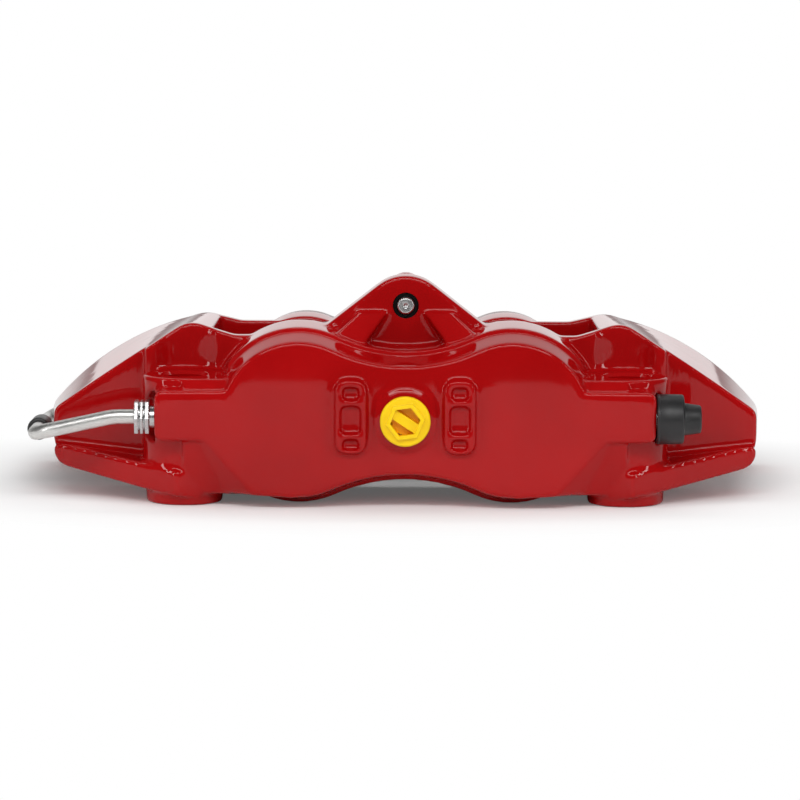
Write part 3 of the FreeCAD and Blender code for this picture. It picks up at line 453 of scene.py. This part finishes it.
def machinedHoles():
    # for each hole: start, direction, lid (radius, depth), cutter's outline and sides, and bare radius
    c = casting
    out = c["overrun"]
    bolt, seat = c["boltHole"] / 2, c["seatHeight"]
    rim = bolt + c["boltChamfer"] + out
    boltCut = [(-out, bolt), (seat - c["boltChamfer"], bolt), (seat + out, rim), (seat + c["seatRoom"], rim)]
    boreCut = [(-out, c["boreRadius"])]
    for near, far in c["grooves"]:
        boreCut += [(near, c["boreRadius"]), (near, c["grooveRadius"])]
        boreCut += [(far, c["grooveRadius"]), (far, c["boreRadius"])]
    boreCut.append((c["boreDepth"], c["boreRadius"]))
    portCut = [(-c["spotRoom"], c["spotFace"]), (0, c["spotFace"])]
    portCut += [(0, c["port"]), (c["portDepth"], c["port"])]
    sleeveCut = [(-out, c["sleeveHole"]), (c["earThickness"] + out, c["sleeveHole"])]
    tailCut = [(-out, c["tailHole"]), (c["farEarThickness"] + out, c["tailHole"])]
    inletCut = [(-out, c["inletPort"]), (c["inletDepth"], c["inletPort"])]

    boltLid, boreLid = (c["boltLid"], seat), (c["boreLid"], c["lidDepth"])
    portLid, inletLid = (c["portLid"], c["lidDepth"]), (c["inletLid"], c["lidDepth"])
    sleeveLid, tailLid = (c["sleeveLid"], c["earThickness"]), (c["tailLid"], c["farEarThickness"])
    outboard = (0, 1, 0)
    holes = []
    for side in (-1, 1):
        foot = (side * c["boltPitch"] / 2, 0, 0)
        holes.append((foot, (0, 0, 1), boltLid, boltCut, c["boltSides"], c["allPaint"]))
        for half in (-1, 1):
            mouth = (side * c["borePitch"] / 2, c["disc"] + half * c["slotHalf"], c["boreHeight"])
            holes.append((mouth, (0, half, 0), boreLid, boreCut, c["boreSides"], c["allBare"]))
            end = (side * c["blockEnd"], c["disc"] + half * c["portLine"], c["boreHeight"])
            holes.append((end, (-side, 0, 0), portLid, portCut, c["portSides"], c["port"] + out))
    ear = (0, c["disc"] - c["slotHalf"] - c["earThickness"], c["pinHeight"])
    holes.append((ear, outboard, sleeveLid, sleeveCut, c["sleeveSides"], c["allBare"]))
    farEar = (0, c["disc"] + c["slotHalf"], c["pinHeight"])
    holes.append((farEar, outboard, tailLid, tailCut, c["tailSides"], c["allBare"]))
    inlet = (0, c["inletFace"], c["boreHeight"])
    holes.append((inlet, outboard, inletLid, inletCut, c["inletSides"], c["allBare"]))
    return holes


def machinedCut(start, along, outline, sides, bareRadius):
    # a cutter that leaves bright metal as far out as bareRadius, and paint beyond it
    axis = Vector(along).normalized()
    cutter = turnedPiece("cut", start, along, outline, sides)
    cutter.data.materials.append(finishes["red_paint"])
    cutter.data.materials.append(bareMetal)
    for face in cutter.data.polygons:
        spots = [cutter.data.vertices[i].co - Vector(start) for i in face.vertices]
        reach = max((spot - axis * spot.dot(axis)).length for spot in spots)
        face.material_index = 1 if reach < bareRadius else 0
    return cutter


def makeCasting():
    c = casting
    holes = machinedHoles()
    # the lids close every hole, so that the softening can't round its rim
    parts = [copyOf("caliper_body", "castingSkin")]
    for start, along, (radius, depth), *cut in holes:
        parts.append(turnedPiece("lid", start, along, [(0, radius), (depth, radius)], c["lidSides"]))
    skin = joined("castingSkin", parts)
    applied(skin, "REMESH", mode="VOXEL", voxel_size=c["voxel"], adaptivity=0)
    print("casting remeshed:", len(skin.data.polygons))
    applied(skin, "SMOOTH", factor=c["soften"], iterations=c["softenPasses"])
    thinned(skin, c["triangles"])
    applied(skin, "SMOOTH", factor=c["soften"], iterations=c["lastPasses"])
    print("casting thinned:", len(skin.data.polygons))
    skin.data.materials.clear()
    skin.data.materials.append(finishes["red_paint"])
    skin.data.materials.append(bareMetal)
    cutters = []
    for start, along, lid, *cut in holes:
        cutters.append(machinedCut(start, along, *cut))
    cutAway(skin, joined("holeCutter", cutters))
    print("casting cut:", len(skin.data.polygons))
    return finished(skin, "red_paint", "caliper", ["caliper_body"], c["crispAngle"])


makeCasting()
print("casting made")


# Rubber: caps on the bleed screws and the sleeve on the pipe

bleedCap = {
    # mm from the block's end, and mm of radius: up the hollow, round the mouth and out to the tip
    "outline": [
        (14.3, 3.9), (7.9, 3.9), (7.9, 6.8), (0.5, 6.8), (0.1, 7.1), (0.1, 8.0), (0.22, 8.35),
        (0.6, 8.6), (1.0, 8.6), (1.15, 8.45), (1.35, 8.45), (1.5, 8.6), (5.0, 8.58), (8.5, 8.5),
        (9.05, 8.38), (9.35, 8.1), (9.5, 7.7), (9.5, 6.0), (9.55, 5.75), (9.8, 5.55),
        (12.6, 5.15), (14.6, 4.85), (15.1, 4.72), (15.4, 4.4), (15.5, 3.9),
    ],
    "sides": 64,
    "crispAngle": 50,
}


def makeCap(half, side):
    at = (casting["blockEnd"], casting["disc"] + side * casting["portLine"], casting["boreHeight"])
    outline = [(along * mm, radius * mm) for along, radius in bleedCap["outline"]]
    cap = turnedPiece("bleedCap_" + half, at, (1, 0, 0), outline, bleedCap["sides"])
    return finished(cap, "black_rubber", "bleed_cap_" + half, ["bleed_cap_" + half], bleedCap["crispAngle"])


makeCap("inboard", -1)
makeCap("outboard", 1)
print("bleed caps made")

pipeSleeve = {
    "near": (-127.0, -10.0, 24.4),        # the pipe's straight run along the end of the bridge, in mm
    "far": (-132.2, 117.0, 12.5),
    "start": 38.0,
    "length": 34.0,
    "bore": 2.55,
    "radius": 3.9,
    "waist": 0.05,                        # this much thinner at the middle
    "edge": 0.55,
    "corner": 0.3,                        # share of the edge that its middle point keeps
    "overrun": 1.0,
    "sides": 48,
    "crispAngle": 50,
}


def makeSleeve():
    p = pipeSleeve
    near, far = Vector(p["near"]), Vector(p["far"])
    first, last, out, edge = p["start"], p["start"] + p["length"], p["radius"], p["edge"]
    corner = p["corner"] * edge
    outline = [
        (first, p["bore"]), (first, out - edge), (first + corner, out - corner), (first + edge, out),
        ((first + last) / 2, out - p["waist"]),
        (last - edge, out), (last - corner, out - corner), (last, out - edge), (last, p["bore"]),
    ]
    bore = [(first - p["overrun"], p["bore"]), (last + p["overrun"], p["bore"])]
    sleeve, hole = [
        turnedPiece(name, near * mm, far - near, [(a * mm, r * mm) for a, r in profile], p["sides"])
        for name, profile in (("pipeSleeve", outline), ("cut", bore))
    ]
    cutAway(sleeve, hole)
    return finished(sleeve, "black_rubber", "caliper", ["pipe_hose"], p["crispAngle"])


makeSleeve()
print("pipe sleeve made")


# Small hard pieces: a copy of the node with its edges worn or moulded soft

softShape = {"soften": 0.5, "crispAngle": 60}
wornShape = {"flatAngle": 1.5, "edgeAngle": 40, "crispAngle": 30}


def softened(node, name, slotName, body, plan):
    piece = copyOf(node, name)
    applied(piece, "REMESH", mode="VOXEL", voxel_size=plan["voxel"], adaptivity=0)
    applied(piece, "SMOOTH", factor=softShape["soften"], iterations=plan["passes"])
    thinned(piece, plan["triangles"])
    return finished(piece, slotName, body, [node], softShape["crispAngle"])


def edged(node, name, slotName, body, plan):
    piece = copyOf(node, name)
    bpy.ops.object.mode_set(mode="EDIT")
    bpy.ops.mesh.select_all(action="SELECT")
    bpy.ops.mesh.dissolve_limited(angle_limit=math.radians(wornShape["flatAngle"]))
    bpy.ops.object.mode_set(mode="OBJECT")
    applied(piece, "BEVEL", width=plan["edge"], segments=plan["steps"], limit_method="ANGLE",
            angle_limit=math.radians(wornShape["edgeAngle"]), use_clamp_overlap=True)
    return finished(piece, slotName, body, [node], wornShape["crispAngle"])


inletPlug = {"voxel": 0.16 * mm, "passes": 3, "triangles": 60000}
tubeNut = {"voxel": 0.16 * mm, "passes": 2, "triangles": 40000}
padPin = {"voxel": 0.2 * mm, "passes": 2, "triangles": 24000}
pinSleeve = {"edge": 0.15 * mm, "steps": 2}
backplate = {"edge": 0.35 * mm, "steps": 2}
friction = {"edge": 0.5 * mm, "steps": 2}
shim = {"edge": 0.08 * mm, "steps": 1}
abutment = {"edge": 0.3 * mm, "steps": 2}
padSpring = {"edge": 0.12 * mm, "steps": 2}

softened("inlet_plug", "inletPlug", "yellow_plastic", "inlet_plug", inletPlug)
softened("pad_pin", "padPin", "plated_steel", "pad_pin", padPin)
edged("pin_sleeve", "pinSleeve", "dark_spring_steel", "pad_pin", pinSleeve)
edged("pad_spring", "padSpring", "stainless", "caliper", padSpring)
for half in ("inboard", "outboard"):
    softened("tube_nut_" + half, "tubeNut_" + half, "plated_steel", "caliper", tubeNut)
    pad = "pad_" + half
    edged(pad + "_backplate", "backplate_" + half, "plate_steel", pad, backplate)
    edged(pad + "_friction", "friction_" + half, "friction", pad, friction)
    edged(pad + "_shim", "shim_" + half, "stainless", pad, shim)
    for end in ("left", "right"):
        plate = "abutment_" + half + "_" + end
        edged(plate, plate + "_edged", "stainless", "caliper", abutment)
print("small pieces softened")


# Floor, backdrop and lamps

studio = {
    "floorTone": 0.94,
    "floorFront": -0.38,             # the table ends here, in front of the caliper
    "floorSize": 3.0,
    "shadowCentre": (0.0, 0.055, 0.0),
    "shadowStretch": (0.75, 1.25, 1.0),
    "shadowReach": (0.10, 0.17),     # the shadow fades into plain white between these distances
    "shadowDepth": 0.9,
    "world": 0.24,
    "worldMirrored": 0.07,           # what the paint mirrors of the dark part of the room
    "backdrop": (0.62, 1.0),         # the sweep behind whitens between these slopes
    "lampAim": (0.0, 0.05, 0.03),
}
white = (1.0, 1.0, 1.0)
# power in watts, and mirrored where the paint shows the lamp itself
lamps = {
    "overhead": {"power": 2.8, "width": 1.3, "depth": 1.0, "place": (0.0, 0.25, 1.15), "mirrored": False},
    "front": {"power": 4.5, "width": 1.4, "depth": 0.5, "place": (0.0, -1.6, 0.95), "mirrored": True},
    "frontStrip": {"power": 9.0, "width": 1.5, "depth": 0.24, "place": (0.0, -1.0, 1.02), "mirrored": True},
    "backStrip": {"power": 1.8, "width": 1.5, "depth": 0.10, "place": (0.0, 0.50, 1.0), "mirrored": True},
    "leftStrip": {"power": 3.0, "width": 0.10, "depth": 0.9, "place": (-1.0, -0.55, 0.45), "mirrored": True},
    "rightStrip": {"power": 3.0, "width": 0.10, "depth": 0.9, "place": (1.0, -0.55, 0.45), "mirrored": True},
}


def placeLamp(name, power, width, depth, place, mirrored):
    lamp = bpy.data.lights.new(name, "AREA")
    lamp.energy = power
    lamp.shape = "RECTANGLE"
    lamp.size, lamp.size_y = width, depth
    lit = bpy.data.objects.new(name, lamp)
    lit.visible_glossy = mirrored
    bpy.context.scene.collection.objects.link(lit)
    aim = Vector(studio["lampAim"]) - Vector(place)
    lit.matrix_world = Matrix.Translation(place) @ aim.to_track_quat("-Z", "Y").to_matrix().to_4x4()


def makeWorld():
    world = bpy.data.worlds.new("studioWorld")
    bpy.context.scene.world = world
    room = Shading(world)
    camera, mirrored, through = [
        room.add("ShaderNodeLightPath", {}, {}, ray)
        for ray in ("Is Camera Ray", "Is Glossy Ray", "Is Transmission Ray")
    ]
    way = room.add("ShaderNodeTexCoord", {}, {}, "Generated")
    behind = room.ramp(room.add("ShaderNodeSeparateXYZ", {}, {"Vector": way}, "Y"), *studio["backdrop"])
    # plain white for the camera and through glass, and in what the paint mirrors from behind
    pale = room.maths("MAXIMUM", room.maths("MAXIMUM", camera, through), mirrored * behind)
    light = room.ramp(mirrored, 0, 1, studio["world"], studio["worldMirrored"])
    lit = room.add("ShaderNodeBackground", {}, {"Color": white, "Strength": light})
    plain = room.add("ShaderNodeBackground", {}, {"Color": white, "Strength": 1.0})
    mix = room.add("ShaderNodeMixShader", {}, {0: pale, 1: lit, 2: plain})
    room.add("ShaderNodeOutputWorld", {}, {"Surface": mix})


def floorFinish():
    # matte under the caliper, where its shadow falls, and plain white for the camera further out
    floor = bpy.data.materials.new("studioWhite")
    sheet = Shading(floor)
    camera = sheet.add("ShaderNodeLightPath", {}, {}, "Is Camera Ray")
    place = sheet.add("ShaderNodeTexCoord", {}, {}, "Object")
    offset = sheet.vectors("SUBTRACT", place, studio["shadowCentre"])
    oval = sheet.vectors("MULTIPLY", offset, studio["shadowStretch"])
    reach = sheet.add("ShaderNodeVectorMath", {"operation": "LENGTH"}, {0: oval}, "Value")
    fade = sheet.ramp(reach, *studio["shadowReach"], 1 - studio["shadowDepth"], 1)
    matte = sheet.add("ShaderNodeBsdfDiffuse", {}, {"Color": (studio["floorTone"],) * 3})
    glow = sheet.add("ShaderNodeEmission", {}, {"Color": white, "Strength": 1.0})
    mix = sheet.add("ShaderNodeMixShader", {}, {0: fade * camera, 1: matte, 2: glow})
    sheet.add("ShaderNodeOutputMaterial", {}, {"Surface": mix})
    return floor


def makeFloor():
    size, front = studio["floorSize"], studio["floorFront"]
    pick()
    bpy.ops.mesh.primitive_plane_add(size=size, location=(0, front + size / 2, 0))
    floor = bpy.context.object
    floor.name = "studioFloor"
    settle(floor)
    floor.data.materials.append(floorFinish())


for name, lamp in lamps.items():
    placeLamp(name + "Lamp", **lamp)
makeWorld()
makeFloor()
bpy.context.scene.view_settings.view_transform = "Standard"
print("studio set up")
